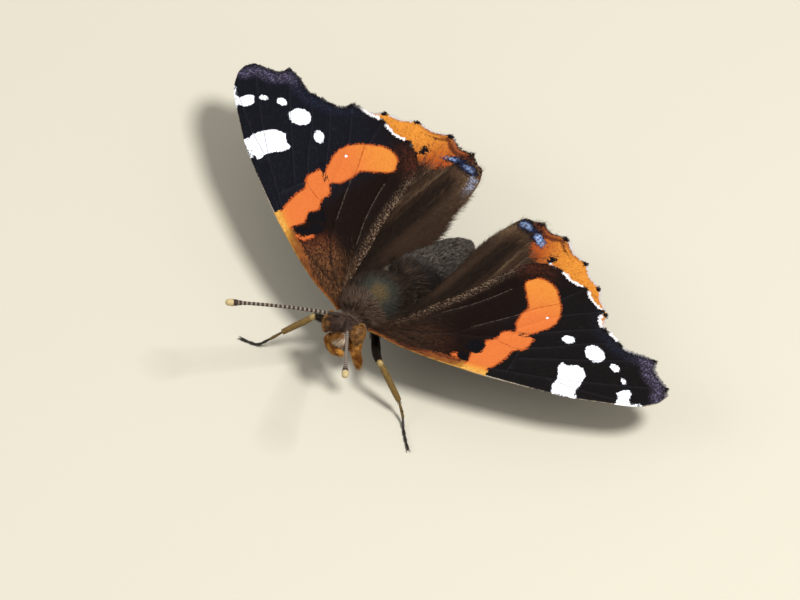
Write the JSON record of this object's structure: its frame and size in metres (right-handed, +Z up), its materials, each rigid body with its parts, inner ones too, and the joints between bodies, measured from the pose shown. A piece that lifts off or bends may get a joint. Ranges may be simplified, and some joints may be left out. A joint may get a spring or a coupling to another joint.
{
  "type": "red admiral butterfly",
  "caption": "Life-size still model of a red admiral butterfly resting with open wings, clubbed antennae forward and feet on the floor.",
  "frame": {"origin": "on the floor, below the centre of the bounding box", "axes": "+Z up from the floor, the head faces -Y, the animal's left is +X, the wingspan runs along X"},
  "size_m": [0.06, 0.038, 0.017],
  "materials": {
    "forewing_scales": "velvet of blue-black and brown scales with an orange band and white spots",
    "hindwing_scales": "velvet of brown scales and hairs with an orange margin",
    "thorax_fur": "dense dark fur with an olive sheen",
    "body_fur": "short dark grey-brown fur and scales",
    "eyes": "glossy faceted brown",
    "palp_scales": "orange-brown scales and hairs",
    "leg_scales": "fine tan and dark scales over horn",
    "antenna_scales": "dark with pale rings",
    "proboscis_horn": "dark brown horn"
  },
  "bodies": {
    "root": {"thorax": "thorax_fur", "abdomen": "body_fur", "head": "body_fur", "proboscis": "proboscis_horn", "eye_L": "eyes", "antenna_L": "antenna_scales", "palp_L": "palp_scales", "foreleg_L": "palp_scales", "midleg_L": "leg_scales", "hindleg_L": "leg_scales", "forewing_L": "forewing_scales", "hindwing_L": "hindwing_scales", "eye_R": "eyes", "antenna_R": "antenna_scales", "palp_R": "palp_scales", "foreleg_R": "palp_scales", "midleg_R": "leg_scales", "hindleg_R": "leg_scales", "forewing_R": "forewing_scales", "hindwing_R": "hindwing_scales"}
  },
  "joints": []
}
